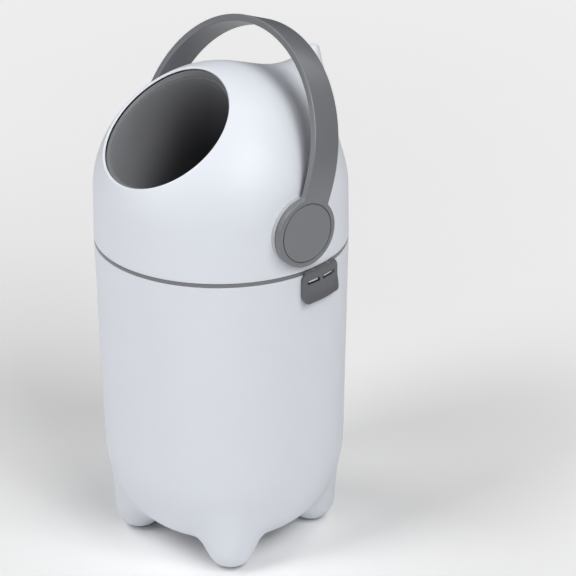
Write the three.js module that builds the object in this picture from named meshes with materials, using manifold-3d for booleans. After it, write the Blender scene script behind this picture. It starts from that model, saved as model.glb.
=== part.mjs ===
// Nappy bin with a turning drum: a round bin on four moulded feet, a lift-off head with a
// slanted mouth, a drum keyed to the carrying handle, and two side clips.
// Units: millimetres. +Z is up, the mouth faces -Y, the handle turns about an axis along X.
// The origin is on the floor, under the centre of the bin.

import * as THREE from 'three';
import { mergeVertices } from 'three/addons/utils/BufferGeometryUtils.js';
import Module from 'manifold-3d';

// ---------------------------------------------------------------- driving dimensions
const R_SEAM = 125;            // outer radius of the bin at the seam
const Z_REF = 325;             // height where that radius is taken
const TAPER = 0.017;           // the bin narrows downwards
const WALL = 2.4;              // moulded wall
const GAP = 0.3;               // clearance between touching pieces

const Z_RIM = 322.8;           // top edge of the bin body
const Z_CORNER = 112.7;        // where the wall starts to round under
const Z_BELLY = 3.97;          // lowest point of the rounding, if it weren't flattened
const N_BELLY = 2.374;         // exponent of the rounding
const Z_FLOOR = 12;            // flat underside between the feet
const TURN_BASE = 10.3;        // feet and clips stand turned by this about Z

const FOOT_R = 88.3;           // radius on which the feet stand
const FOOT_TIP = 24.7;         // radius of a foot's tip
const FOOT_TOP = 41.7;         // radius where a foot grows out of the belly
const FOOT_TOP_R = 73.3;       // and where that is
const FOOT_TOP_Z = 57.8;
const FOOT_BLEND = 8.28;
const FOOT_CUT = 1.9;          // feet are cut flat here for the pads
const PAD_R = 7.8;
const PAD_H = 1.6;

const LEDGE_Z = 298;           // inner ledge that carries the bag ring
const LEDGE_R = 120.6;

const PIVOT_Z = 368.8;         // axis of the drum and the handle
const HUB_X = 132;             // outer face of the handle's discs
const HUB_BACK = 124.75;
const HUB_R = 34;
const CAP_R = 28.8;
const BOSS_R = 34.2;
const BOSS_X = 124.45;
const STRAP_OUT = 132;         // handle strap, outer and inner radius of its arch
const STRAP_IN = 125.2;
const STRAP_W = 31;
const STRAP_Y = 0.9;           // the strap stands this far behind the middle of its discs
const LEG = 41.3;              // straight leg above the pivot
const LEAN = 19.93;            // the raised handle leans back by this, degrees

const DOME_ZC = 375.228;       // centre of the dome's curve
const DOME_A = [124.232, -12.186, 10.585];
const DOME_SLOPE = 0.018;
const Z_DOME = 327.0;          // lower edge of the dome
const MOUTH_C = [0, -63.44, 449.54];
const MOUTH_EL = 50.18;        // the mouth's plane looks up by this, degrees
const MOUTH_R = 69.4;          // inner edge of the lip round the mouth
const LIP = 2.5;               // width of that rounded lip
const LIP_DROP = 0.8;          // its inner edge lies this far below the mouth's plane
const SEAL_IN = 68.2;          // opening seal, inner and outer radius, and top below the mouth's plane
const SEAL_OUT = 71.4;
const SEAL_TOP = 1.95;
const SEAL_BALL = 118.45;      // it ends on a ball of this radius about the pivot

const TIP_A = [117.7, 488.5, 2.37];   // y, z, radius at the point's end
const TIP_B = [107.8, 453.5, 9.12];   // y, z, radius lower down
const TIP_BLEND = 76.8;

const BALL_R = 118;            // drum
const BALL_WALL = 2.2;
const DRUM_EL = 51.8;          // the drum's mouth looks up by this at rest
const CUP_R = 65.4;            // inner radius of the cup at its mouth

const CLIP_AZ = 90 + TURN_BASE;
const CLIP_HALF = 11.45;       // half the clip's width, degrees round the bin
const CLIP_BOTTOM = 293.5;
const CLIP_CORNER = [7, 4];    // radius of the lower corners, front and back
const CLIP_TOP_CORNER = 1.6;
const PIN_R = 126.85;          // distance of the clip's pin from the bin's axis
const PIN_Z = 325.05;
const SLOT_OFF = 4.95;         // slots at this angle either side of the clip's middle
const SLOT_HALF = 3.75;
const SLOT_Z = [313.8, 316.8];
const LUG = [127.2, 314.0, 316.2];   // outer radius, lower and upper edge of the body's lugs

// ---------------------------------------------------------------- helpers
const wasm = await Module();
wasm.setup();

const rad = (d) => (d * Math.PI) / 180;

// Leaves only positions, shared vertices and faces that point out.
function clean(geometry) {
  let g = geometry.index ? geometry.toNonIndexed() : geometry.clone();
  for (const name of Object.keys(g.attributes)) if (name !== 'position') g.deleteAttribute(name);
  g = mergeVertices(g, 1e-4);
  const p = g.attributes.position, idx = g.index.array, keep = [];
  let volume = 0;
  for (let i = 0; i < idx.length; i += 3) {
    const [a, b, c] = [idx[i], idx[i + 1], idx[i + 2]];
    if (a === b || b === c || a === c) continue;
    keep.push(a, b, c);
    volume += p.getX(a) * (p.getY(b) * p.getZ(c) - p.getZ(b) * p.getY(c))
      - p.getY(a) * (p.getX(b) * p.getZ(c) - p.getZ(b) * p.getX(c))
      + p.getZ(a) * (p.getX(b) * p.getY(c) - p.getY(b) * p.getX(c));
  }
  if (volume < 0) for (let i = 0; i < keep.length; i += 3) [keep[i + 1], keep[i + 2]] = [keep[i + 2], keep[i + 1]];
  g.setIndex(keep);
  return g;
}

function solid(geometry) {
  const g = clean(geometry);
  return new wasm.Manifold(new wasm.Mesh({
    numProp: 3,
    vertProperties: new Float32Array(g.attributes.position.array),
    triVerts: new Uint32Array(g.index.array),
  }));
}

function geometryOf(manifold) {
  const m = manifold.getMesh();
  const g = new THREE.BufferGeometry();
  const n = m.numVert ?? m.vertProperties.length / m.numProp;
  const xyz = new Float32Array(n * 3);
  for (let i = 0; i < n; i++) for (let k = 0; k < 3; k++) xyz[3 * i + k] = m.vertProperties[i * m.numProp + k];
  g.setAttribute('position', new THREE.BufferAttribute(xyz, 3));
  g.setIndex(Array.from(m.triVerts));
  return g;
}

// A closed ring or disc turned about Z from a profile of [radius, height].
function turned(profile, segments = 48) {
  const pts = profile.map(([r, z]) => new THREE.Vector2(Math.max(r, 0), z));
  if (profile[0][0] > 0 || profile[profile.length - 1][0] > 0) pts.push(pts[0].clone());
  const g = new THREE.LatheGeometry(pts, segments);
  g.rotateX(Math.PI / 2);
  return clean(g);
}

// The same about X: heights run towards +X, or towards -X for the left side.
const aboutX = (g, side) => clean(g.clone().rotateY((side * Math.PI) / 2).translate(0, 0, PIVOT_Z));

function box(x, y, z, cx = 0, cy = 0, cz = 0) {
  return new THREE.BoxGeometry(x, y, z).translate(cx, cy, cz);
}

// Rows of points, each row closed on itself. The stack of rows closes too when loop is set;
// otherwise a first or last row of one point is a pole, and an open row gets a flat cap.
function skin(rows, loop = false) {
  const xyz = [], start = [];
  for (const row of rows) { start.push(xyz.length / 3); for (const p of row) xyz.push(...p); }
  const idx = [];
  const count = loop ? rows.length : rows.length - 1;
  for (let j = 0; j < count; j++) {
    const a = rows[j], b = rows[(j + 1) % rows.length], sa = start[j], sb = start[(j + 1) % rows.length];
    const n = Math.max(a.length, b.length);
    for (let i = 0; i < n; i++) {
      const k = (i + 1) % n;
      if (a.length === 1) idx.push(sa, sb + i, sb + k);
      else if (b.length === 1) idx.push(sa + i, sb, sa + k);
      else idx.push(sa + i, sb + i, sb + k, sa + i, sb + k, sa + k);
    }
  }
  const cap = (row, s, flip) => {
    if (row.length === 1) return;
    const c = [0, 1, 2].map((k) => row.reduce((t, p) => t + p[k], 0) / row.length);
    const n = xyz.length / 3;
    xyz.push(...c);
    for (let i = 0; i < row.length; i++) {
      const k = (i + 1) % row.length;
      if (flip) idx.push(n, s + k, s + i); else idx.push(n, s + i, s + k);
    }
  };
  if (!loop) { cap(rows[0], start[0], false); cap(rows[rows.length - 1], start[rows.length - 1], true); }
  const g = new THREE.BufferGeometry();
  g.setAttribute('position', new THREE.Float32BufferAttribute(xyz, 3));
  g.setIndex(idx);
  return clean(g);
}

function smin(a, b, k) {
  const h = Math.min(1, Math.max(0, 0.5 + (0.5 * (b - a)) / k));
  return b * (1 - h) + a * h - k * h * (1 - h);
}

// Distance to a cone with round ends, from point a with radius ra to point b with radius rb.
function roundCone(p, a, b, ra, rb) {
  const ba = [b[0] - a[0], b[1] - a[1], b[2] - a[2]], pa = [p[0] - a[0], p[1] - a[1], p[2] - a[2]];
  const dot = (u, v) => u[0] * v[0] + u[1] * v[1] + u[2] * v[2];
  const l2 = dot(ba, ba), rr = ra - rb, a2 = l2 - rr * rr, il2 = 1 / l2;
  const y = dot(pa, ba), z = y - l2;
  const w = [0, 1, 2].map((i) => pa[i] * l2 - ba[i] * y);
  const x2 = dot(w, w), y2 = y * y * l2, z2 = z * z * l2, k = Math.sign(rr) * rr * rr * x2;
  if (Math.sign(z) * a2 * z2 > k) return Math.sqrt(x2 + z2) * il2 - rb;
  if (Math.sign(y) * a2 * y2 < k) return Math.sqrt(x2 + y2) * il2 - ra;
  return (Math.sqrt(x2 * a2 * il2) + y * rr) * il2 - ra;
}

// First place along the ray from inside where the field reaches the level.
function reach(field, o, d, level, far) {
  let lo = 0, hi = far;
  for (let i = 0; i < 44; i++) {
    const t = (lo + hi) / 2;
    if (field([o[0] + d[0] * t, o[1] + d[1] * t, o[2] + d[2] * t]) < level) lo = t; else hi = t;
  }
  return [o[0] + d[0] * lo, o[1] + d[1] * lo, o[2] + d[2] * lo];
}

// ---------------------------------------------------------------- bin body
const wallR = (z) => R_SEAM - TAPER * (Z_REF - z);
const footAz = [0, 1, 2, 3].map((i) => rad(45 + TURN_BASE + 90 * i));
const feet = footAz.map((a) => ({
  a: [FOOT_R * Math.sin(a), -FOOT_R * Math.cos(a), FOOT_TIP],
  b: [FOOT_TOP_R * Math.sin(a), -FOOT_TOP_R * Math.cos(a), FOOT_TOP_Z],
}));

function bodyField(p) {
  const rho = Math.hypot(p[0], p[1]), R = wallR(p[2]), H = Z_CORNER - Z_BELLY;
  const u = rho / R, s = Math.max(0, (Z_CORNER - p[2]) / H);
  const Q = Math.pow(Math.pow(u, N_BELLY) + Math.pow(s, N_BELLY) + 1e-12, 1 / N_BELLY);
  const gu = (Math.pow(u, N_BELLY - 1) * Math.pow(Q, 1 - N_BELLY)) / R;
  const gs = (Math.pow(s, N_BELLY - 1) * Math.pow(Q, 1 - N_BELLY)) / H;
  let d = (Q - 1) / Math.max(Math.hypot(gu, gs), 1e-4);
  d = -smin(-d, -(Z_FLOOR - p[2]), 6);
  let f = 1e9;
  for (const t of feet) f = Math.min(f, roundCone(p, t.a, t.b, FOOT_TIP, FOOT_TOP));
  return smin(d, f, FOOT_BLEND);
}

function bodyRows(offsets, under, corner, walls, level, top) {
  const az = [];
  for (let q = 0; q < 4; q++) for (const o of offsets) az.push(footAz[q] + rad(o));
  const ring = (o, d, far) => az.map((a) => {
    const s = Math.sin(a), c = -Math.cos(a);
    return reach(bodyField, [o[0] * s, o[0] * c, o[1]], [d[0] * s, d[0] * c, d[1]], level, far);
  });
  const rows = [[reach(bodyField, [0, 0, 75], [0, 0, -1], level, 90)]];
  for (const r of under) rows.push(ring([r, 75], [0, -1], 90));
  for (const e of corner) rows.push(ring([FOOT_R, 75], [Math.cos(rad(e)), Math.sin(rad(e))], 90));
  for (const z of walls) rows.push(ring([FOOT_R, z], [1, 0], 60));
  for (const [r, z] of top) rows.push(az.map((a) => [r * Math.sin(a), -r * Math.cos(a), z]));
  return rows;
}

const outerBody = solid(skin(bodyRows(
  [-37.5, -30, -23, -17, -12, -8, -4, 0, 4, 8, 12, 17, 23, 30, 37.5, 45],
  [30, 50, 62, 70, 79, FOOT_R],
  [-84, -77, -70, -62, -52, -39, -25, -11],
  [75, 95, 115], 0, [[wallR(Z_RIM), Z_RIM]])));
const innerBody = solid(skin(bodyRows(
  [-37.5, -30, -22, -14, -7, 0, 7, 14, 22, 30, 37.5, 45],
  [36, 60, 74, FOOT_R],
  [-66, -44, -20],
  [80, 112], -WALL - 0.1,
  [[wallR(293) - WALL, 293], [LEDGE_R, 294.5], [LEDGE_R, LEDGE_Z], [wallR(LEDGE_Z) - WALL, LEDGE_Z], [wallR(Z_RIM) - WALL, Z_RIM + 6]])));
let binBody = outerBody.subtract(innerBody);
for (const a of footAz) {
  binBody = binBody.subtract(solid(box(60, 60, 10, FOOT_R * Math.sin(a), -FOOT_R * Math.cos(a), FOOT_CUT - 5)));
}

// Lugs on the body behind the slots of the clips.
function arcBlock(azMid, half, r0, r1, z0, z1, n = 4) {
  const rows = [];
  for (let i = 0; i <= n; i++) {
    const a = rad(azMid - half + (2 * half * i) / n), s = Math.sin(a), c = -Math.cos(a);
    rows.push([[r0 * s, r0 * c, z0], [r1 * s, r1 * c, z0], [r1 * s, r1 * c, z1], [r0 * s, r0 * c, z1]]);
  }
  return skin(rows);
}
for (const side of [0, 180]) {
  for (const off of [-SLOT_OFF, SLOT_OFF]) {
    binBody = binBody.add(solid(arcBlock(CLIP_AZ + side + off, 2.9, 123.6, LUG[0], LUG[1], LUG[2])));
  }
}

// ---------------------------------------------------------------- dome
const mEl = rad(MOUTH_EL);
const mouthN = [0, -Math.cos(mEl), Math.sin(mEl)];
const mouthU = [0, Math.sin(mEl), Math.cos(mEl)];
const STAR = [0, 85, 372];     // rays for the dome's surface start here, under the pointed tip

function domeField(p) {
  const rho = Math.hypot(p[0], p[1]), dz = p[2] - DOME_ZC;
  let d;
  if (dz > 0) {
    const R = Math.hypot(rho, dz), s2 = (dz / R) ** 2;
    d = R - (DOME_A[0] + DOME_A[1] * s2 + DOME_A[2] * s2 * s2);
  } else d = rho - (DOME_A[0] - DOME_SLOPE * dz);
  return smin(d, roundCone(p, [0, TIP_A[0], TIP_A[1]], [0, TIP_B[0], TIP_B[1]], TIP_A[2], TIP_B[2]), TIP_BLEND);
}

function rayTo(q, level) {
  const d = [q[0] - STAR[0], q[1] - STAR[1], q[2] - STAR[2]];
  const l = Math.hypot(...d);
  return reach(domeField, STAR, d.map((v) => v / l), level, l + 75);
}

// Point on the plain dome in a direction from its centre.
function plainDome(dir) {
  const l = Math.hypot(...dir), u = dir.map((v) => v / l), c = Math.hypot(u[0], u[1]), s = u[2];
  const R = s > 0 ? DOME_A[0] + DOME_A[1] * s * s + DOME_A[2] * s ** 4 : DOME_A[0] / (c + DOME_SLOPE * s);
  return [u[0] * R, u[1] * R, DOME_ZC + u[2] * R];
}

// Point of the dome over the mouth's plane, r from the mouth's axis.
function overMouth(r, phi, level) {
  const q = [0, 1, 2].map((k) => MOUTH_C[k] + r * (Math.cos(phi) * mouthU[k] + Math.sin(phi) * (k === 0 ? 1 : 0)));
  const o = q.map((v, k) => v - 40 * mouthN[k]);
  return reach(domeField, o, mouthN, level, 90);
}

function domeRows(phis, ts, inner) {
  const rows = [];
  const level = inner ? -WALL : 0;
  const a = phis.map((phi) => {
    const q = overMouth(MOUTH_R + LIP, phi, level);
    const d = [q[0], q[1], q[2] - DOME_ZC], l = Math.hypot(...d);
    return d.map((v) => v / l);
  });
  for (const t of ts) {
    rows.push(phis.map((phi, i) => {
      const zEnd = Z_DOME - DOME_ZC, rEnd = DOME_A[0] - DOME_SLOPE * zEnd, l = Math.hypot(rEnd, zEnd);
      const b = [(rEnd * Math.sin(phi)) / l, (rEnd * Math.cos(phi)) / l, zEnd / l];
      const w = Math.acos(Math.min(1, a[i][0] * b[0] + a[i][1] * b[1] + a[i][2] * b[2]));
      const dir = [0, 1, 2].map((k) => (Math.sin((1 - t) * w) * a[i][k] + Math.sin(t * w) * b[k]) / Math.sin(w));
      if (t === 1) {
        const r = rEnd - (inner ? WALL : 0);
        return [r * Math.sin(phi), r * Math.cos(phi), Z_DOME];
      }
      const q = rayTo(plainDome(dir), level);
      return [q[0], q[1], Math.max(q[2], Z_DOME + 0.5)];
    }));
  }
  return rows;
}

const phis = [];
for (const d of [0, 2, 5, 10, 17, 25]) phis.push(rad(d));
for (let i = 1; i <= 35; i++) phis.push(rad(25 + (310 * i) / 36));
for (const d of [25, 17, 10, 5, 2]) phis.push(rad(360 - d));
const T_OUT = [0, 0.1, 0.2, 0.29, 0.38, 0.45, 0.5, 0.53, 0.56, 0.6, 0.633, 0.68, 0.74, 0.82, 0.91, 1];
const T_IN = [1, 0.9, 0.79, 0.67, 0.56, 0.43, 0.3, 0.15, 0];
const rim = (depth) => phis.map((phi) => [0, 1, 2].map((k) => MOUTH_C[k] - depth * mouthN[k]
  + MOUTH_R * (Math.cos(phi) * mouthU[k] + Math.sin(phi) * (k === 0 ? 1 : 0))));
// The lip: a curve from the inner edge, rising steeply, over on to the dome.
const lip = (t) => phis.map((phi, i) => {
  const p0 = rim(LIP_DROP)[i], p2 = overMouth(MOUTH_R + LIP, phi, 0), p1 = overMouth(MOUTH_R + 0.9, phi, 0);
  return [0, 1, 2].map((k) => (1 - t) ** 2 * p0[k] + 2 * t * (1 - t) * p1[k] + t * t * p2[k]);
});
const outerRows = domeRows(phis, T_OUT, false), innerRows = domeRows(phis, T_IN, true);
let dome = solid(skin([rim(LIP_DROP), lip(0.3), lip(0.65), ...outerRows, ...innerRows], true));

const bossProfile = [[15, 121.5], [BOSS_R, 119], [BOSS_R, BOSS_X], [15, BOSS_X]];
for (const side of [1, -1]) {
  dome = dome.add(solid(aboutX(turned(bossProfile, 40), side)));
  dome = dome.subtract(solid(aboutX(turned([[0, 110], [19.9, 110], [19.9, 121.0], [16.6, 121.0], [16.6, 130], [0, 130]], 32), side)));
  // spot face, so that the disc of the handle clears the dome's wider skirt
  dome = dome.subtract(solid(aboutX(turned([[0, BOSS_X], [BOSS_R + 0.8, BOSS_X], [BOSS_R + 0.8, 130], [0, 130]], 40), side)));
}

// ---------------------------------------------------------------- rings and seals of the head
let baseRing = solid(turned([
  [113, 323.1], [119, 323.1], [119, 312], [121.2, 312], [121.2, 315.2], [120.3, 315.2], [120.3, 318.2],
  [121.2, 318.2], [121.2, 323.1], [124.8, 323.1], [124.8, 326.7],
  [121.9, 326.7], [121.9, 333], [119.9, 333], [119.9, 326.7], [113, 326.7]], 52));
const seatScrewAz = [0, 1, 2, 3].map((i) => rad(45 + TURN_BASE + 90 * i));
const SCREW_R = 115.6;
for (const a of seatScrewAz) {
  baseRing = baseRing.subtract(solid(turned([[0, 320], [1.75, 320], [1.75, 325.9], [0, 325.9]], 12)
    .translate(SCREW_R * Math.sin(a), -SCREW_R * Math.cos(a), 0)));
}

// A piece placed on the tangent at the clip: x runs along the tangent, y outwards.
function atClip(g, side) {
  const az = rad(CLIP_AZ + side);
  const m = new THREE.Matrix4().makeBasis(
    new THREE.Vector3(Math.cos(az), Math.sin(az), 0),
    new THREE.Vector3(Math.sin(az), -Math.cos(az), 0),
    new THREE.Vector3(0, 0, -1));
  return clean(g.clone().applyMatrix4(m));
}
const EAR_S = 10.35, EAR_W = 3;
const pinHole = (r, half, side) => solid(atClip(turned([[0, -half], [r, -half], [r, half], [0, half]], 16)
  .rotateY(Math.PI / 2).translate(0, PIN_R, -PIN_Z), side));
for (const side of [0, 180]) {
  for (const s of [-EAR_S, EAR_S]) {
    const ear = new THREE.Shape();
    ear.moveTo(123, 323.7); ear.lineTo(127.2, 323.7); ear.lineTo(128.1, 324.5); ear.lineTo(128.1, 325.6);
    ear.lineTo(127.4, 326.4); ear.lineTo(123, 326.4); ear.closePath();
    const g = new THREE.ExtrudeGeometry(ear, { depth: EAR_W, bevelEnabled: false });
    // shape x is outwards and shape y is up; extrusion runs along the tangent
    const m = new THREE.Matrix4().makeBasis(new THREE.Vector3(0, 1, 0), new THREE.Vector3(0, 0, -1), new THREE.Vector3(1, 0, 0));
    g.applyMatrix4(m).translate(s - EAR_W / 2, 0, 0);
    baseRing = baseRing.add(solid(atClip(g, side)));
  }
  baseRing = baseRing.subtract(pinHole(0.9, 13, side));
}

// Seat under the drum: a flange screwed under the base ring and a dished wall down to the chute.
const onBall = (r, psi) => [r * Math.sin(rad(psi)), PIVOT_Z - r * Math.cos(rad(psi))];
const seatIn = [65.6, 59, 52, 45, 38].map((a) => onBall(121.3, a));
const seatOut = [38, 46, 54.5, 63.2].map((a) => onBall(123.4, a));
let seat = solid(turned([[118.6, 322.8], [111.9, 322.8], ...seatIn, [onBall(120.6, 37)[0], onBall(120.6, 37)[1] - 2],
  [onBall(123.2, 37)[0], onBall(123.2, 37)[1] - 2], ...seatOut, [112.4, 319.8], [118.6, 319.8]], 40));
for (const a of seatScrewAz) {
  seat = seat.subtract(solid(turned([[0, 315], [1.9, 315], [1.9, 325], [0, 325]], 12)
    .translate(SCREW_R * Math.sin(a), -SCREW_R * Math.cos(a), 0)));
}
const drumSeal = turned([onBall(118.5, 39.5), onBall(118.5, 43.5), onBall(120.8, 43.5), onBall(120.8, 39.5)], 40);

function aboutDrum(g, el = DRUM_EL) {
  // turned about Z, then tipped so that +Z looks out of the mouth
  return clean(g.clone().rotateX(Math.PI / 2 - rad(el)).translate(0, 0, PIVOT_Z));
}
const polar = (r, psi) => [r * Math.sin(rad(psi)), r * Math.cos(rad(psi))];
// Seal round the mouth, between the lip and the drum. Its lower end follows the drum.
const mouthPoint = (r, phi, h) => [0, 1, 2].map((k) => MOUTH_C[k] + h * mouthN[k] + r * (Math.cos(phi) * mouthU[k] + Math.sin(phi) * (k === 0 ? 1 : 0)));
const heightOf = (p) => [0, 1, 2].reduce((t, k) => t + (p[k] - MOUTH_C[k]) * mouthN[k], 0);
const onDrum = (r, phi) => {
  const c = [MOUTH_C[0], MOUTH_C[1], MOUTH_C[2] - PIVOT_Z];
  const up = c[0] * mouthN[0] + c[1] * mouthN[1] + c[2] * mouthN[2], off = c[1] * mouthU[1] + c[2] * mouthU[2];
  return mouthPoint(r, phi, Math.sqrt(SEAL_BALL ** 2 - (r * Math.cos(phi) + off) ** 2 - (r * Math.sin(phi)) ** 2) - up);
};
const sealColumns = [];
for (let i = 0; i < 48; i++) {
  const phi = rad(7.5 * i);
  const under = Math.min(heightOf(overMouth(SEAL_OUT, phi, -WALL - 0.6)), -2.4);
  sealColumns.push([onDrum(SEAL_IN, phi), mouthPoint(SEAL_IN, phi, -SEAL_TOP - 0.45), mouthPoint(SEAL_IN + 0.4, phi, -SEAL_TOP),
    mouthPoint(SEAL_IN + 1.1, phi, -SEAL_TOP), mouthPoint(SEAL_OUT, phi, under), onDrum(SEAL_OUT, phi)]);
}
const openingSeal = skin(sealColumns, true);
const rimSeal = turned([[120.6, 315.5], [121.4, 315.5], [122.0, 316.7], [121.4, 317.9], [120.6, 317.9]], 52);
const bagRing = turned([[112, 299.2], [113.2, 298.3], [121.5, 298.3], [121.5, 300.4], [119.4, 300.8], [117.6, 303.4], [114.5, 304.6], [112, 302.2]], 44);

const bushProfile = [[13, 119.4], [19.3, 119.4], [19.3, 120.7], [16.2, 120.7], [16.2, 124.3], [13, 124.3]];
const seatScrewProfile = [[0, 317.6], [2.0, 317.6], [2.9, 318.3], [2.9, 319.5], [1.4, 319.5], [1.4, 325.6], [0, 325.6]];

// ---------------------------------------------------------------- handle, drum and what joins them
const U = new THREE.Shape();
U.moveTo(-STRAP_OUT, 0);
U.lineTo(-STRAP_OUT, LEG);
U.absarc(0, LEG, STRAP_OUT, Math.PI, 0, true);
U.lineTo(STRAP_OUT, 0);
U.lineTo(STRAP_IN, 0);
U.lineTo(STRAP_IN, LEG);
U.absarc(0, LEG, STRAP_IN, 0, Math.PI, false);
U.lineTo(-STRAP_IN, 0);
U.closePath();
const BEVEL = 0.8;
const strap = new THREE.ExtrudeGeometry(U, { depth: STRAP_W - 2 * BEVEL, bevelEnabled: true, bevelThickness: BEVEL, bevelSize: BEVEL, bevelOffset: -BEVEL, bevelSegments: 1, curveSegments: 26 });
strap.translate(0, 0, -STRAP_W / 2 + BEVEL - STRAP_Y).rotateX(Math.PI / 2);   // shape y becomes height
let handle = solid(strap);
const hexagon = (r, x0, x1) => {
  const s = new THREE.Shape();
  for (let i = 0; i < 6; i++) { const a = rad(60 * i); if (i) s.lineTo(r * Math.cos(a), r * Math.sin(a)); else s.moveTo(r, 0); }
  s.closePath();
  return new THREE.ExtrudeGeometry(s, { depth: x1 - x0, bevelEnabled: false }).translate(0, 0, x0);
};
const turnX = (g, side) => clean(g.clone().rotateY((side * Math.PI) / 2));
const neck = (sign) => {
  // fillet between the leg and the disc
  const r = 5, cx = STRAP_W / 2 + sign * STRAP_Y + r, cy = Math.sqrt((HUB_R + r) ** 2 - cx * cx);
  const end = Math.atan2(-cy, -cx);
  const s = new THREE.Shape();
  s.moveTo(sign * 8, cy);
  s.lineTo(sign * (cx - r), cy);
  for (let i = 1; i <= 5; i++) {
    const a = Math.PI + ((end + 2 * Math.PI - Math.PI) * i) / 5;
    s.lineTo(sign * (cx + r * Math.cos(a)), cy + r * Math.sin(a));
  }
  s.lineTo(sign * 8, 22);
  s.closePath();
  return s;
};
for (const side of [1, -1]) {
  handle = handle.add(solid(turnX(turned([[0, HUB_BACK], [HUB_R, HUB_BACK], [HUB_R, HUB_X - 1.5],
    [HUB_R - 0.45, HUB_X - 0.4], [HUB_R - 1.5, HUB_X], [0, HUB_X]], 40), side)));
  for (const sign of [1, -1]) {
    const g = new THREE.ExtrudeGeometry(neck(sign), { depth: STRAP_OUT - STRAP_IN - 0.6, bevelEnabled: false });
    // shape x is along the strap's width (Y), shape y is height, extrusion is along X
    const m = new THREE.Matrix4().makeBasis(new THREE.Vector3(0, 1, 0), new THREE.Vector3(0, 0, 1), new THREE.Vector3(1, 0, 0));
    g.applyMatrix4(m).translate(side > 0 ? STRAP_IN + 0.3 : -STRAP_OUT + 0.3, 0, 0);
    handle = handle.add(solid(g));
  }
  // collar that runs in through the dome to the drum
  handle = handle.add(solid(turnX(turned([[0, 119.2], [12.7, 119.2], [12.7, HUB_BACK + 0.5], [0, HUB_BACK + 0.5]], 28), side)));
  handle = handle.subtract(solid(turnX(hexagon(9.05, 118, 126.9), side).rotateX(rad(LEAN))));
  handle = handle.subtract(solid(turnX(turned([[0, 130.6], [CAP_R + 0.4, 130.6], [CAP_R + 0.4, 133], [0, 133]], 40), side)));
  handle = handle.subtract(solid(turnX(turned([[0, 120], [2.3, 120], [2.3, 128.4], [4.7, 128.4], [4.7, 131], [0, 131]], 16), side)));
}

// The drum: a ball open towards the mouth, and the cup that hangs in it.
const ballIn = BALL_R - BALL_WALL;
const ballPsi = [35.6, 44, 54, 64, 75, 86, 97, 108, 120, 132, 144, 156, 168];
const ballPsiIn = [35.6, 46, 58, 70, 82, 94, 106, 119, 133, 147, 162];
let ball = solid(aboutDrum(turned([...ballPsi.map((a) => polar(BALL_R, a)), [0, -BALL_R], [0, -ballIn],
  ...ballPsiIn.slice().reverse().map((a) => polar(ballIn, a))], 40)));
const cupProfile = [];
{
  const wall = 2.0, bottom = -12, deep = 53.5;
  const inner = [], outer = [];
  inner.push([CUP_R + 0.7, 97.8], [CUP_R, 96.8]);
  for (const t of [0, 1]) inner.push([CUP_R - 0.6 - 5.5 * t, 95 - (95 - bottom) * t]);
  const rEnd = CUP_R - 6.1;
  for (const a of [20, 40, 60, 78]) inner.push([rEnd * Math.cos(rad(a)), bottom - deep * Math.sin(rad(a))]);
  inner.push([0, bottom - deep]);
  outer.push([0, bottom - deep - wall]);
  for (const a of [70, 46, 23]) outer.push([(rEnd + wall) * Math.cos(rad(a)), bottom - (deep + wall) * Math.sin(rad(a))]);
  for (const t of [1, 0]) outer.push([CUP_R - 0.6 + wall - 5.5 * t, 95 - (95 - bottom) * t]);
  outer.push([CUP_R + 2.2, 95.9], [CUP_R + 2.2, 96.8], [CUP_R + 1.5, 97.3]);
  cupProfile.push(...inner, ...outer);
}
const cup = aboutDrum(turned(cupProfile, 40));

const axles = {};
for (const side of [1, -1]) {
  ball = ball.subtract(solid(aboutX(hexagon(9.0, 108, 122), side)));
  let axle = solid(aboutX(turned([[0, 110.9], [14, 110.9], [14, 113.3], [0, 113.3]], 24), side));
  axle = axle.add(solid(aboutX(hexagon(8.6, 113, 126.5), side)));
  axle = axle.subtract(solid(aboutX(turned([[0, 116.5], [2.0, 116.5], [2.0, 127], [0, 127]], 16), side)));
  axles[side] = axle;
}
const axleScrewProfile = [[0, 117.4], [1.6, 117.4], [1.6, 128.7], [4.2, 128.7], [4.2, 129.7], [3.2, 130.4], [0, 130.4]];
const capProfile = [[0, 130.9], [CAP_R, 130.9], [CAP_R, HUB_X - 0.35], [CAP_R - 0.35, HUB_X], [0, HUB_X]];

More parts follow.
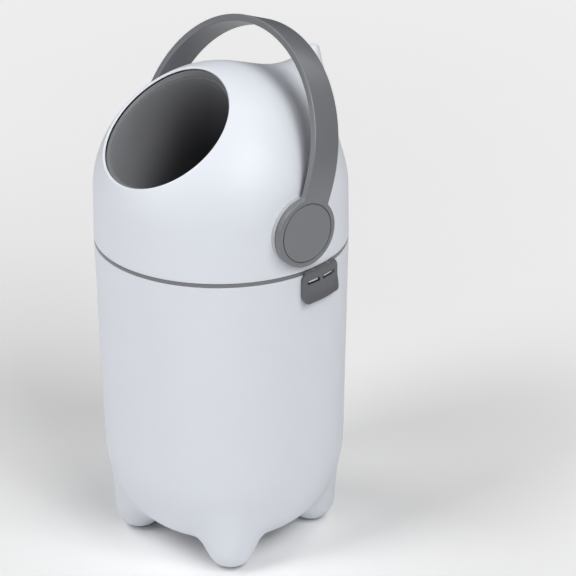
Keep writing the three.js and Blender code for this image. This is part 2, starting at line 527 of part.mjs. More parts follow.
// ---------------------------------------------------------------- clip
function clipSolid(side) {
  // height, outer radius in the middle and at the sides, inner radius
  const section = [
    [326.65, 127.6, 127.6, 126.8], [326.2, 128.4, 128.4, 126.0], [325.1, 128.95, 128.95, 125.55], [323.2, 129.05, 129.05, 125.8], [321.8, 129.1, 129.1, 126.4],
    [309.6, 129.2, 129.2, 126.4], [306.5, 128.85, 129.5, 126.4], [302, 128.8, 130.1, 126.5],
    [298, 129.5, 130.55, 127.3], [295, 130.5, 130.9, 128.6], [CLIP_BOTTOM, 130.9, 130.95, 129.3],
  ];
  const cols = [-1, -0.9, -0.7, -0.42, -0.14, 0.14, 0.42, 0.7, 0.9, 1];
  const cutOff = (h, r) => (h < r ? r - Math.sqrt(Math.max(0, r ** 2 - (r - h) ** 2)) : 0);
  const halfAt = (z, back) => {
    const cut = cutOff(z - CLIP_BOTTOM, CLIP_CORNER[back ? 1 : 0]) + cutOff(section[0][0] - z, CLIP_TOP_CORNER);
    return CLIP_HALF - (cut / 128) * (180 / Math.PI);
  };
  const at = (u, z, r) => {
    const a = rad(CLIP_AZ + side + u * halfAt(z, u > 0));
    return [r * Math.sin(a), -r * Math.cos(a), z];
  };
  const zs = [];
  for (const row of section) zs.push(row);
  // one more row in the rounded bottom corners
  zs.splice(zs.length - 1, 0, [294.1, 130.75, 130.95, 129.0]);
  const outAt = (u, mid, side_) => mid + (side_ - mid) * Math.max(0, (Math.abs(u) - 0.7) / 0.3);
  const rows = zs.map(([z, rm, rs, ri]) => [...cols.map((u) => at(u, z, outAt(u, rm, rs))), ...cols.slice().reverse().map((u) => at(u, z, ri))]);
  let m = solid(skin(rows));
  for (const off of [-SLOT_OFF, SLOT_OFF]) m = m.subtract(solid(arcBlock(CLIP_AZ + side + off, SLOT_HALF, 124, 133, SLOT_Z[0], SLOT_Z[1])));
  // the face is thin behind the slots, so that the body's lugs reach into them
  m = m.subtract(solid(arcBlock(CLIP_AZ + side, 9.4, 124, LUG[0] + 0.4, 288, 321.2, 6)));
  // pockets for the ears of the base ring, closed to the front
  for (const s of [-EAR_S, EAR_S]) m = m.subtract(solid(atClip(box(EAR_W + 0.7, 5.5, 6, s, 128.45 - 2.75, -(323.3 + 3)), side)));
  m = m.subtract(pinHole(0.9, 14.9, side));
  return m;
}
const pinGeometry = (side) => atClip(turned([[0, -14.5], [0.6, -14.5], [0.6, 14.5], [0, 14.5]], 12)
  .rotateY(Math.PI / 2).translate(0, PIN_R, -PIN_Z), side);

// ---------------------------------------------------------------- assembly
const WHITE = { color: 0xdfe2ea, roughness: 0.42, metalness: 0 };
const GREY = { color: 0x77787c, roughness: 0.5, metalness: 0 };
const DARK = { color: 0x6c6d71, roughness: 0.45, metalness: 0 };
const RUBBER = { color: 0x3a3b3e, roughness: 0.8, metalness: 0 };
const STEEL = { color: 0xb8babd, roughness: 0.3, metalness: 0.9 };
const PAD = { color: 0xd4d6db, roughness: 0.75, metalness: 0 };
const NATURAL = { color: 0xe6e6e2, roughness: 0.5, metalness: 0 };

const product = new THREE.Group();
const bin = new THREE.Group(), lid = new THREE.Group(), drum = new THREE.Group();
lid.add(drum);
product.add(bin, lid);

function piece(group, name, shape, look) {
  const geometry = shape.isBufferGeometry ? shape : geometryOf(shape);
  const mesh = new THREE.Mesh(geometry, new THREE.MeshStandardMaterial(look));
  mesh.name = name;
  group.add(mesh);
  return mesh;
}

piece(bin, 'bin_body', binBody, WHITE);
footAz.forEach((a, i) => {
  const pad = piece(bin, `foot_pad_${i + 1}`, turned([[0, 0], [PAD_R - 0.6, 0], [PAD_R, 0.6], [PAD_R, PAD_H], [0, PAD_H]], 16), PAD);
  pad.position.set(FOOT_R * Math.sin(a), -FOOT_R * Math.cos(a), 0);
});
piece(bin, 'bag_ring', bagRing, GREY);

piece(lid, 'dome_cover', dome, WHITE);
piece(lid, 'base_ring', baseRing, GREY);
piece(lid, 'drum_seat', seat, GREY);
piece(lid, 'drum_seal', drumSeal, RUBBER);
piece(lid, 'opening_seal', openingSeal, RUBBER);
piece(lid, 'rim_seal', rimSeal, RUBBER);
piece(lid, 'hub_bush_right', aboutX(turned(bushProfile, 24), 1), NATURAL);
piece(lid, 'hub_bush_left', aboutX(turned(bushProfile, 24), -1), NATURAL);
seatScrewAz.forEach((a, i) => {
  const screw = piece(lid, `seat_screw_${i + 1}`, turned(seatScrewProfile, 10), STEEL);
  screw.position.set(SCREW_R * Math.sin(a), -SCREW_R * Math.cos(a), 0);
});

const bail = piece(drum, 'handle', handle, GREY);
bail.position.z = PIVOT_Z;
bail.rotation.x = -rad(LEAN);
piece(drum, 'drum_ball', ball, DARK);
piece(drum, 'drum_cup', cup, DARK);
for (const [side, word] of [[1, 'right'], [-1, 'left']]) {
  piece(drum, `axle_${word}`, axles[side], NATURAL);
  piece(drum, `axle_screw_${word}`, aboutX(turned(axleScrewProfile, 12), side), STEEL);
  piece(drum, `hub_cap_${word}`, aboutX(turned(capProfile, 40), side), GREY);
}

for (const [side, word] of [[0, 'right'], [180, 'left']]) {
  piece(lid, `clip_${word}`, clipSolid(side), GREY);
  piece(lid, `clip_pin_${word}`, pinGeometry(side), STEEL);
}

export default product;
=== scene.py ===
import math
import bpy
import bmesh
import numpy as np
from mathutils import Matrix, Vector


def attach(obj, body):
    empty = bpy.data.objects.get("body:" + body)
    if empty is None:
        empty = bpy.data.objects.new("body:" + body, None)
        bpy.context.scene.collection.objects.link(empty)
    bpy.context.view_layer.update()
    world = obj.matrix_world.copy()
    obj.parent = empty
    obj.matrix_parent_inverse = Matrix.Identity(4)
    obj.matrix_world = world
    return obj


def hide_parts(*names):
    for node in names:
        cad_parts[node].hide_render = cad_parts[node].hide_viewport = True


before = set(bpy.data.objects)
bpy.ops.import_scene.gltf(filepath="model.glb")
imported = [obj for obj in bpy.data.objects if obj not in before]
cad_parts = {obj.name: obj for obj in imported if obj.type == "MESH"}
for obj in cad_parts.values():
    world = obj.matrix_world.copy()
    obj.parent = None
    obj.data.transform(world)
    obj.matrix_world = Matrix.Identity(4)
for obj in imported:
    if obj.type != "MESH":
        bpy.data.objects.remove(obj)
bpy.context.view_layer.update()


pi = math.pi

# ---------------------------------------------------------------- sizes, in millimetres
R_SEAM, Z_REF, TAPER, WALL = 125.0, 325.0, 0.017, 2.4
Z_RIM, Z_CORNER, Z_BELLY, N_BELLY, Z_FLOOR = 322.8, 112.7, 3.97, 2.374, 12.0
TURN_BASE = 10.3
FOOT_R, FOOT_TIP, FOOT_TOP, FOOT_TOP_R, FOOT_TOP_Z, FOOT_BLEND, FOOT_CUT = 88.3, 24.7, 41.7, 73.3, 57.8, 8.28, 1.9
PAD_R, PAD_H = 7.8, 1.6
LEDGE_Z, LEDGE_R = 298.0, 120.6
PIVOT_Z, HUB_X, HUB_BACK, HUB_R, CAP_R, BOSS_R, BOSS_X = 368.8, 132.0, 124.75, 34.0, 28.8, 34.2, 124.45
STRAP_OUT, STRAP_IN, STRAP_W, STRAP_Y, LEG, LEAN = 132.0, 125.2, 31.0, 0.9, 41.3, 19.93
DOME_ZC, DOME_A, DOME_SLOPE, Z_DOME = 375.228, (124.232, -12.186, 10.585), 0.018, 327.0
MOUTH_C = np.array([0, -63.44, 449.54])
MOUTH_EL, MOUTH_R, LIP, LIP_DEEP = math.radians(50.18), 68.7, 3.0, 1.9
SEAL_IN, SEAL_OUT, SEAL_TOP, SEAL_BALL = 68.4, 71.4, 2.1, 118.2
TIP_A, TIP_B, TIP_BLEND = (117.7, 488.5, 2.37), (107.8, 453.5, 9.12), 76.8
BALL_R, BALL_WALL, DRUM_EL, CUP_R = 118.0, 2.2, math.radians(51.8), 65.4
CLIP_AZ, CLIP_HALF, CLIP_BOTTOM = 90 + TURN_BASE, 11.45, 293.5
PIN_R, PIN_Z, EAR_S, EAR_W = 126.85, 325.05, 10.35, 3.0
SLOTS = ((-5.4, 3.65), (4.4, 4.2))       # middle and half length, degrees round the bin
SLOT_LOW, SLOT_HIGH, LUG_LOW, LUG_HIGH = 313.2, 317.2, 314.7, 316.5
EYES, EYE_R, EYE_Z = (-2.25, 7.35), 1.35, 315.3   # dark discs on the body beside the lugs, painted shade standing for small holes
CLIP_CORNERS = (7.0, 4.0)                 # lower corners, front and back
LUGS, LUG_R = ((-5.25, 2.65), (4.2, 2.65)), 127.9


# ---------------------------------------------------------------- mesh helpers
class Form:
    """Collects vertices in millimetres and faces, and becomes one mesh object in metres."""

    def __init__(self):
        self.v, self.f, self.n = [], [], 0

    def grid(self, rows, wrap=True, loop=False, flip=False):
        """Rows of equally many points. wrap closes each row, loop joins the last row to the first."""
        rows = np.asarray(rows, float)
        r, c = rows.shape[:2]
        base = self.n
        self.v.append(rows.reshape(-1, 3))
        self.n += r * c
        rr = r if loop else r - 1
        cc = c if wrap else c - 1
        for j in range(rr):
            a, b = base + j * c, base + ((j + 1) % r) * c
            for i in range(cc):
                k = (i + 1) % c
                q = (a + i, a + k, b + k, b + i)
                self.f.append(q[::-1] if flip else q)
        return base, r, c

    def pole(self, point, start, c, flip=False):
        self.v.append(np.asarray(point, float).reshape(1, 3))
        p = self.n
        self.n += 1
        for i in range(c):
            t = (p, start + (i + 1) % c, start + i)
            self.f.append(t[::-1] if flip else t)

    def add(self, verts, faces):
        base = self.n
        self.v.append(np.asarray(verts, float).reshape(-1, 3))
        self.n += len(verts)
        self.f += [tuple(base + i for i in f) for f in faces]

    def make(self, name, sharp=38, transform=None):
        xyz = np.concatenate(self.v)
        if transform is not None:
            xyz = transform(xyz)
        me = bpy.data.meshes.new(name)
        me.from_pydata((xyz / 1000).tolist(), [], self.f)
        me.validate()
        bm = bmesh.new()
        bm.from_mesh(me)
        bmesh.ops.remove_doubles(bm, verts=bm.verts, dist=2e-6)
        bmesh.ops.recalc_face_normals(bm, faces=bm.faces)
        bm.to_mesh(me)
        bm.free()
        me.shade_smooth()
        me.set_sharp_from_angle(angle=math.radians(sharp))
        ob = bpy.data.objects.new(name, me)
        bpy.context.scene.collection.objects.link(ob)
        return ob


def rounded(profile, r=0.5, n=4, closed=True):
    """Rounds the corners of a polyline. A point may carry its own radius as a third value."""
    pts = [tuple(p) for p in profile]
    out, m = [], len(pts)
    for i, p in enumerate(pts):
        rad_ = p[2] if len(p) > 2 else r
        p = np.array(p[:2], float)
        if (not closed and i in (0, m - 1)) or rad_ <= 0:
            out.append(tuple(p))
            continue
        a, b = np.array(pts[i - 1][:2], float), np.array(pts[(i + 1) % m][:2], float)
        u, w = a - p, b - p
        lu, lw = np.hypot(*u), np.hypot(*w)
        turn = math.acos(max(-1, min(1, -(u @ w) / (lu * lw))))
        if turn < math.radians(12):
            out.append(tuple(p))
            continue
        d = min(rad_ * math.tan(turn / 2), 0.45 * lu, 0.45 * lw)
        s, e = p + u / lu * d, p + w / lw * d
        for k in range(n + 1):
            t = k / n
            out.append(tuple((1 - t) ** 2 * s + 2 * t * (1 - t) * p + t * t * e))
    return out


def turned(form, profile, seg=160, place=None, closed=True):
    """A ring or disc turned about Z. A profile that starts and ends on the axis is a disc."""
    pr = np.array([(max(p[0], 0), p[1]) for p in profile], float)
    disc = pr[0, 0] < 1e-6 and pr[-1, 0] < 1e-6
    body = pr[1:-1] if disc else pr
    a = np.linspace(0, 2 * pi, seg, endpoint=False)
    rows = np.stack([np.stack([r * np.cos(a), r * np.sin(a), np.full_like(a, z)], -1) for r, z in body])
    ends = [np.array([[0, 0, pr[0, 1]]], float), np.array([[0, 0, pr[-1, 1]]], float)]
    if place is not None:
        rows = place(rows.reshape(-1, 3)).reshape(rows.shape)
        ends = [place(e) for e in ends]
    base, r, c = form.grid(rows, loop=not disc and closed)
    if disc:
        form.pole(ends[0], base, c)
        form.pole(ends[1], base + (r - 1) * c, c, flip=True)
    return form


def about_x(side):
    """Turned pieces whose heights run along +X or -X from the pivot."""
    def place(p):
        return np.stack([side * p[:, 2], p[:, 1], p[:, 0] + PIVOT_Z], -1)
    return place


def about_ball(el):
    """Turned pieces tipped so that their +Z looks forwards and up by el."""
    t = pi / 2 - el
    c, s = math.cos(t), math.sin(t)

    def place(p):
        x, y, z = p[:, 0], p[:, 1], p[:, 2]
        return np.stack([x, y * c - z * s, y * s + z * c + PIVOT_Z], -1)
    return place


def smin(a, b, k):
    h = np.clip(0.5 + 0.5 * (b - a) / k, 0, 1)
    return b * (1 - h) + a * h - k * h * (1 - h)


def round_cone(P, a, b, ra, rb):
    a, b = np.array(a, float), np.array(b, float)
    ba = b - a
    l2 = ba @ ba
    rr = ra - rb
    a2 = l2 - rr * rr
    il2 = 1 / l2
    pa = P - a
    y = pa @ ba
    z = y - l2
    w = pa * l2 - ba * y[..., None]
    x2 = (w ** 2).sum(-1)
    y2, z2 = y * y * l2, z * z * l2
    k = np.sign(rr) * rr * rr * x2
    d = (np.sqrt(x2 * a2 * il2) + y * rr) * il2 - ra
    top = np.sign(z) * a2 * z2 > k
    low = (np.sign(y) * a2 * y2 < k) & ~top
    d = np.where(top, np.sqrt(x2 + z2) * il2 - rb, d)
    return np.where(low, np.sqrt(x2 + y2) * il2 - ra, d)


def march(field, O, D, level, far, n=40):
    lo = np.zeros(len(O))
    hi = np.broadcast_to(np.asarray(far, float), lo.shape).copy()
    for _ in range(n):
        t = (lo + hi) / 2
        inside = field(O + D * t[:, None]) < level
        lo, hi = np.where(inside, t, lo), np.where(inside, hi, t)
    return O + D * lo[:, None]


# ---------------------------------------------------------------- materials
def nodes_of(mat):
    mat.use_nodes = True
    nt = mat.node_tree
    nt.nodes.clear()
    out = nt.nodes.new("ShaderNodeOutputMaterial")
    bsdf = nt.nodes.new("ShaderNodeBsdfPrincipled")
    nt.links.new(bsdf.outputs["BSDF"], out.inputs["Surface"])
    return nt, bsdf


def moulded(name, color, rough, grain=0.25, grain_mm=0.35, mottle=0.02, rough_var=0.05, metallic=0.0,
            spec=0.5, coat=0.0, swirl=0.0, sheen=0.0, painted_shading=None):
    """Moulded plastic: a fine eroded grain, faint cloudy colour and uneven gloss. The last argument (direction, from,
    to, value there, value here) scales the colour along a direction: painted shade where that value is below one,
    painted light where it is above one."""
    mat = bpy.data.materials.new(name)
    nt, b = nodes_of(mat)
    N, L = nt.nodes.new, nt.links.new
    coord = N("ShaderNodeTexCoord")
    cloud = N("ShaderNodeTexNoise")
    cloud.inputs["Scale"].default_value = 14
    cloud.inputs["Detail"].default_value = 3
    L(coord.outputs["Object"], cloud.inputs["Vector"])
    ramp = N("ShaderNodeMapRange")
    ramp.inputs["From Min"].default_value, ramp.inputs["From Max"].default_value = 0.3, 0.7
    ramp.inputs["To Min"].default_value, ramp.inputs["To Max"].default_value = 1 - mottle, 1 + mottle
    L(cloud.outputs["Fac"], ramp.inputs["Value"])
    tint = N("ShaderNodeVectorMath")
    tint.operation = "SCALE"
    tint.inputs[0].default_value = color
    if painted_shading:
        along = N("ShaderNodeVectorMath")
        along.operation = "DOT_PRODUCT"
        along.inputs[1].default_value = painted_shading[0]
        L(coord.outputs["Object"], along.inputs[0])
        shading_ramp = N("ShaderNodeMapRange")
        shading_ramp.inputs["From Min"].default_value, shading_ramp.inputs["From Max"].default_value = painted_shading[1], painted_shading[2]
        shading_ramp.inputs["To Min"].default_value, shading_ramp.inputs["To Max"].default_value = painted_shading[3], painted_shading[4]
        L(along.outputs["Value"], shading_ramp.inputs["Value"])
        both = N("ShaderNodeMath")
        both.operation = "MULTIPLY"
        L(ramp.outputs["Result"], both.inputs[0])
        L(shading_ramp.outputs["Result"], both.inputs[1])
        L(both.outputs["Value"], tint.inputs["Scale"])
    else:
        L(ramp.outputs["Result"], tint.inputs["Scale"])
    L(tint.outputs["Vector"], b.inputs["Base Color"])
    fine = N("ShaderNodeTexNoise")
    fine.inputs["Scale"].default_value = 1000 / grain_mm
    fine.inputs["Detail"].default_value = 2
    L(coord.outputs["Object"], fine.inputs["Vector"])
    gloss = N("ShaderNodeMapRange")
    gloss.inputs["To Min"].default_value, gloss.inputs["To Max"].default_value = rough - rough_var, rough + rough_var
    wear = N("ShaderNodeTexNoise")
    wear.inputs["Scale"].default_value = 60
    wear.inputs["Detail"].default_value = 4
    L(coord.outputs["Object"], wear.inputs["Vector"])
    L(wear.outputs["Fac"], gloss.inputs["Value"])
    L(gloss.outputs["Result"], b.inputs["Roughness"])
    bump = N("ShaderNodeBump")
    bump.inputs["Strength"].default_value = grain
    bump.inputs["Distance"].default_value = 0.00004
    L(fine.outputs["Fac"], bump.inputs["Height"])
    if swirl:
        slow = N("ShaderNodeTexNoise")
        slow.inputs["Scale"].default_value = 22
        slow.inputs["Detail"].default_value = 1
        L(coord.outputs["Object"], slow.inputs["Vector"])
        wave = N("ShaderNodeBump")
        wave.inputs["Strength"].default_value = swirl
        wave.inputs["Distance"].default_value = 0.0006
        L(slow.outputs["Fac"], wave.inputs["Height"])
        L(wave.outputs["Normal"], bump.inputs["Normal"])
    L(bump.outputs["Normal"], b.inputs["Normal"])
    b.inputs["Metallic"].default_value = metallic
    b.inputs["Specular IOR Level"].default_value = spec
    b.inputs["Coat Weight"].default_value = coat
    b.inputs["Coat Roughness"].default_value = 0.25
    b.inputs["Sheen Weight"].default_value = sheen
    return mat


WHITE = moulded("white_shell", (0.723, 0.75, 0.806), 0.42, grain=0.12, mottle=0.006, rough_var=0.04, spec=0.4)
# a darker copy of the white shell for the bosses behind the handle's discs: painted shade
WHITE_PAINTED_SHADE = moulded("white_shell_painted_shade", (0.46, 0.47, 0.49), 0.5, grain=0.12, mottle=0.006, rough_var=0.04, spec=0.3)
GREY = moulded("trim_grey", (0.173, 0.177, 0.192), 0.32, grain=0.15, mottle=0.02, spec=0.6)
CLIP_GREY = moulded("trim_grey_clip", (0.124, 0.126, 0.136), 0.46, grain=0.25, mottle=0.02, spec=0.4)
DRUM = moulded("drum_grey", (0.188, 0.190, 0.200), 0.36, grain=0.12, mottle=0.02, spec=0.4)
# the cup's colour is painted darker deeper down the drum's axis (painted shade) and lighter towards its rim (painted
# light)
CUP = moulded("drum_grey_cup_painted_shading", (0.178, 0.180, 0.190), 0.40, grain=0.12, mottle=0.02, spec=0.4,
              painted_shading=((0, -math.cos(DRUM_EL), math.sin(DRUM_EL)), 0.300, 0.388, 0.60, 1.32))
# dark rubber of the seals; the same dark colour is also painted shade on the plates behind the slots and the discs
# beside the lugs
SEAL_AND_PAINTED_SHADE = moulded("seal_dark_and_painted_shade", (0.035, 0.035, 0.038), 0.75, grain=0.4, mottle=0.08, spec=0.3)
PAD = moulded("foot_pad_pale", (0.60, 0.61, 0.64), 0.75, grain=0.5, mottle=0.04, spec=0.3)
NATURAL = moulded("natural_plastic", (0.72, 0.72, 0.69), 0.45, grain=0.15, mottle=0.015)
STEEL = moulded("screw_steel", (0.60, 0.60, 0.61), 0.28, grain=0.2, mottle=0.05, metallic=1.0)


def finish_piece(ob, mat, body, *replaced, slot=None):
    ob.data.materials.clear()
    ob.data.materials.append(mat)
    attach(ob, body)
    if replaced:
        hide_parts(*replaced)
    return ob


# ---------------------------------------------------------------- bin body
def wall_r(z):
    return R_SEAM - TAPER * (Z_REF - z)


foot_az = [math.radians(45 + TURN_BASE + 90 * i) for i in range(4)]
feet = [((FOOT_R * math.sin(a), -FOOT_R * math.cos(a), FOOT_TIP),
         (FOOT_TOP_R * math.sin(a), -FOOT_TOP_R * math.cos(a), FOOT_TOP_Z)) for a in foot_az]


def body_field(P):
    x, y, z = P[:, 0], P[:, 1], P[:, 2]
    rho, R, H = np.hypot(x, y), wall_r(z), Z_CORNER - Z_BELLY
    u, s, n = rho / R, np.maximum(0, (Z_CORNER - z) / H), N_BELLY
    Q = (u ** n + s ** n + 1e-12) ** (1 / n)
    gu = u ** (n - 1) * Q ** (1 - n) / R
    gs = s ** (n - 1) * Q ** (1 - n) / H
    d = (Q - 1) / np.maximum(np.hypot(gu, gs), 1e-4)
    d = -smin(-d, -(Z_FLOOR - z), 6.0)
    f = np.full_like(d, 1e9)
    for a, b in feet:
        f = np.minimum(f, round_cone(P, a, b, FOOT_TIP, FOOT_TOP))
    return smin(d, f, FOOT_BLEND)


def body_rows(az, under, corner, walls, level):
    s, c = np.sin(az), -np.cos(az)
    rows = []

    def ring(o_r, o_z, d_r, d_z, far):
        O = np.stack([o_r * s, o_r * c, np.full_like(s, o_z)], -1)
        D = np.stack([d_r * s, d_r * c, np.full_like(s, d_z)], -1)
        rows.append(march(body_field, O, D, level, far))
    for r in under:
        ring(r, 75, 0, -1, 90)
    for e in corner:
        ring(FOOT_R, 75, math.cos(math.radians(e)), math.sin(math.radians(e)), 90)
    for z in walls:
        ring(FOOT_R, z, 1, 0, 60)
    return rows


def arc_block(form, mid, half, r0, r1, z0, z1, n=16, soft=0.35):
    prof = rounded([(r0, z0, 0), (r1, z0), (r1, z1), (r0, z1, 0)], soft, 3)
    rows = []
    for i in range(n + 1):
        a = math.radians(mid - half + 2 * half * i / n)
        rows.append([(r * math.sin(a), -r * math.cos(a), z) for r, z in prof])
    base, r, c = form.grid(rows)
    form.f.append(tuple(base + i for i in range(c)))
    form.f.append(tuple(base + (r - 1) * c + i for i in range(c))[::-1])


az = np.linspace(0, 2 * pi, 400, endpoint=False) + foot_az[0]
outer = body_rows(az, np.linspace(2, FOOT_R, 46), np.linspace(-88.6, -1.4, 72), np.linspace(75, 121, 12), 0)
for row in outer:
    row[:, 2] = np.maximum(row[:, 2], FOOT_CUT)


def circle(r, z):
    return np.stack([r * np.sin(az), -r * np.cos(az), np.full_like(az, z)], -1)


for z in (140, 170, 205, 240, 275, 300, 314, 320.5):
    outer.append(circle(wall_r(z), z))
Ro = wall_r(Z_RIM)
for r, z in rounded([(Ro, 321.2), (Ro, Z_RIM, 0.6), (Ro - WALL, Z_RIM, 0.6), (Ro - WALL, 320)], 0.6, 4, closed=False):
    outer.append(circle(r, z))
for r, z in rounded([(wall_r(LEDGE_Z) - WALL, 306), (wall_r(LEDGE_Z) - WALL, LEDGE_Z, 0.6), (LEDGE_R, LEDGE_Z, 0.4),
                     (LEDGE_R, 294.5, 0.4), (wall_r(293) - WALL, 293), (wall_r(280) - WALL, 280)], 0.5, 3, closed=False):
    outer.append(circle(r, z))
for z in (250, 215, 180, 150, 128):
    outer.append(circle(wall_r(z) - WALL, z))
inner = body_rows(az, np.linspace(2, FOOT_R, 24), np.linspace(-87, -3, 34), np.linspace(75, 114, 6), -WALL - 0.1)
outer += inner[::-1]
body = Form()
base, r, c = body.grid(outer)
body.pole(outer[0].mean(0) * [0, 0, 1], base, c)
body.pole(outer[-1].mean(0) * [0, 0, 1], base + (r - 1) * c, c, flip=True)
for side in (0, 180):
    for off, half in LUGS:
        arc_block(body, CLIP_AZ + side + off, half, 123.6, LUG_R, LUG_LOW, LUG_HIGH)
shell = body.make("bin_shell")
finish_piece(shell, WHITE, "bin", "bin_body", slot="shell_white")

for i, a in enumerate(foot_az):
    pad = Form()
    turned(pad, [(0, 0), (PAD_R * 0.55, 0), (PAD_R - 1.0, 0.0), (PAD_R - 0.45, 0.12), (PAD_R - 0.12, 0.45), (PAD_R, 0.95),
                 (PAD_R, PAD_H - 0.2), (PAD_R - 0.2, PAD_H), (0, PAD_H)], 64,
           place=lambda p, a=a: p + [FOOT_R * math.sin(a), -FOOT_R * math.cos(a), 0])
    finish_piece(pad.make(f"foot_pad_round_{i + 1}"), PAD, "bin", f"foot_pad_{i + 1}", slot="foot_rubber")

ring = Form()
turned(ring, rounded([(112, 299.2), (113.2, 298.3), (121.5, 298.3), (121.5, 300.4), (119.4, 300.8, 1.0), (117.6, 303.4, 1.2),
                      (114.5, 304.6, 1.6), (112, 302.2, 1.4)], 0.4, 4), 256)
finish_piece(ring.make("bag_ring_smooth"), GREY, "bin", "bag_ring", slot="trim_grey")

# ---------------------------------------------------------------- dome
mouth_n = np.array([0, -math.cos(MOUTH_EL), math.sin(MOUTH_EL)])
mouth_u = np.array([0, math.sin(MOUTH_EL), math.cos(MOUTH_EL)])
ex = np.array([1.0, 0, 0])
STAR = np.array([0, 85.0, 372.0])


def dome_field(P):
    rho, dz = np.hypot(P[:, 0], P[:, 1]), P[:, 2] - DOME_ZC
    R = np.hypot(rho, dz)
    s2 = (dz / np.maximum(R, 1e-9)) ** 2
    up = R - (DOME_A[0] + DOME_A[1] * s2 + DOME_A[2] * s2 * s2)
    d = np.where(dz > 0, up, rho - (DOME_A[0] - DOME_SLOPE * dz))
    t = round_cone(P, (0, TIP_A[0], TIP_A[1]), (0, TIP_B[0], TIP_B[1]), TIP_A[2], TIP_B[2])
    return smin(d, t, TIP_BLEND)


def plain_dome(u):
    c, s = np.hypot(u[:, 0], u[:, 1]), u[:, 2]
    R = np.where(s > 0, DOME_A[0] + DOME_A[1] * s ** 2 + DOME_A[2] * s ** 4, DOME_A[0] / (c + DOME_SLOPE * s))
    return u * R[:, None] + [0, 0, DOME_ZC]


def over_mouth(r, level):
    q = MOUTH_C + r * (np.cos(phi)[:, None] * mouth_u + np.sin(phi)[:, None] * ex)
    return march(dome_field, q - 40 * mouth_n, np.broadcast_to(mouth_n, q.shape), level, 90)


half = np.concatenate([np.linspace(0, 3, 13)[:-1], np.linspace(3, 12, 21)[:-1], np.linspace(12, 40, 33)[:-1], np.linspace(40, 180, 120)])
phi = np.radians(np.concatenate([half, 360 - half[1:-1][::-1]]))


def dome_rows(ts, level):
    q = over_mouth(MOUTH_R + LIP, level)
    a = q - [0, 0, DOME_ZC]
    a /= np.linalg.norm(a, axis=1)[:, None]
    z_end = Z_DOME + 1.6 - DOME_ZC
    r_end = DOME_A[0] - DOME_SLOPE * z_end
    b = np.stack([r_end * np.sin(phi), r_end * np.cos(phi), np.full_like(phi, z_end)], -1)
    b /= np.linalg.norm(b, axis=1)[:, None]
    w = np.arccos(np.clip((a * b).sum(1), -1, 1))[:, None]
    rows = []
    for t in ts:
        u = (np.sin((1 - t) * w) * a + np.sin(t * w) * b) / np.sin(w)
        u /= np.linalg.norm(u, axis=1)[:, None]
        p = plain_dome(u) - STAR
        l = np.linalg.norm(p, axis=1)
        rows.append(march(dome_field, np.broadcast_to(STAR, p.shape), p / l[:, None], level, l + 75))
    return rows


def rim(depth, r=MOUTH_R):
    return MOUTH_C - depth * mouth_n + r * (np.cos(phi)[:, None] * mouth_u + np.sin(phi)[:, None] * ex)


def edge(r, z):
    return np.stack([r * np.sin(phi), r * np.cos(phi), np.full_like(phi, z)], -1)


t_out = np.concatenate([np.linspace(0, 0.12, 12)[:-1], np.linspace(0.12, 0.44, 40)[:-1], np.linspace(0.44, 0.55, 56)[:-1],
                        np.linspace(0.55, 0.7, 22)[:-1], np.linspace(0.7, 1, 30)])
p1, p2 = over_mouth(MOUTH_R + 1.0, 0), over_mouth(MOUTH_R + LIP, 0)
lip_low = (p1 - MOUTH_C) @ mouth_n - LIP_DEEP       # height of the lip's inner edge over the mouth's plane


def at_height(r, h):
    return MOUTH_C + np.multiply.outer(h, mouth_n) + r * (np.cos(phi)[:, None] * mouth_u + np.sin(phi)[:, None] * ex)


p0 = at_height(MOUTH_R, lip_low)
rows = [at_height(MOUTH_R + 0.7, lip_low - 0.45), at_height(MOUTH_R + 0.32, lip_low - 0.3), at_height(MOUTH_R + 0.1, lip_low - 0.13)]
for t in np.linspace(0, 1, 15)[:-1]:
    rows.append((1 - t) ** 2 * p0 + 2 * t * (1 - t) * p1 + t * t * p2)
rows += dome_rows(t_out, 0)
Rd = DOME_A[0] + DOME_SLOPE * (DOME_ZC - Z_DOME)
rows += [edge(Rd, Z_DOME + 0.8), edge(Rd - 0.08, Z_DOME + 0.4), edge(Rd - 0.25, Z_DOME + 0.12), edge(Rd - 0.6, Z_DOME),
         edge(Rd - WALL + 0.3, Z_DOME), edge(Rd - WALL, Z_DOME + 0.3)]
rows += dome_rows(np.linspace(0, 1, 60)[::-1], -WALL)
rows = np.array(rows)
# spot faces behind the handle's discs
hub_d = np.hypot(rows[..., 1], rows[..., 2] - PIVOT_Z)
near = (hub_d < BOSS_R + 0.8) & (np.abs(rows[..., 0]) > BOSS_X)
rows[..., 0] = np.where(near, np.sign(rows[..., 0]) * BOSS_X, rows[..., 0])
rows[..., 1] = np.clip(rows[..., 1], -125.09, 129.42)
dome = Form()
dome.grid(rows, loop=True)
flat = np.concatenate(dome.v)
in_hub = (np.hypot(flat[:, 1], flat[:, 2] - PIVOT_Z) < 18.3) & (np.abs(flat[:, 0]) > 100)
dome.f = [f for f in dome.f if not all(in_hub[i] for i in f)]
for side in (1, -1):
    boss = Form()
    turned(boss, rounded([(16.6, 121.0, 0.2), (19.9, 121.0, 0.1), (19.9, 119.0, 0.2), (BOSS_R - 0.6, 118.4, 0.2), (BOSS_R, BOSS_X, 0.45), (16.6, BOSS_X, 0.3)], 0.3, 4), 192, place=about_x(side))
    # the boss is white shell painted darker, painted shade under the disc
    finish_piece(boss.make("hub_boss_right" if side > 0 else "hub_boss_left"), WHITE_PAINTED_SHADE, "lid", "dome_cover", slot="shell_white")
finish_piece(dome.make("dome_shell", sharp=50), WHITE, "lid", "dome_cover", slot="shell_white")


# ---------------------------------------------------------------- rings and seals of the head
def clip_frame(side):
    a = math.radians(CLIP_AZ + side)
    t, d = np.array([math.cos(a), math.sin(a), 0]), np.array([math.sin(a), -math.cos(a), 0])
    return t, d


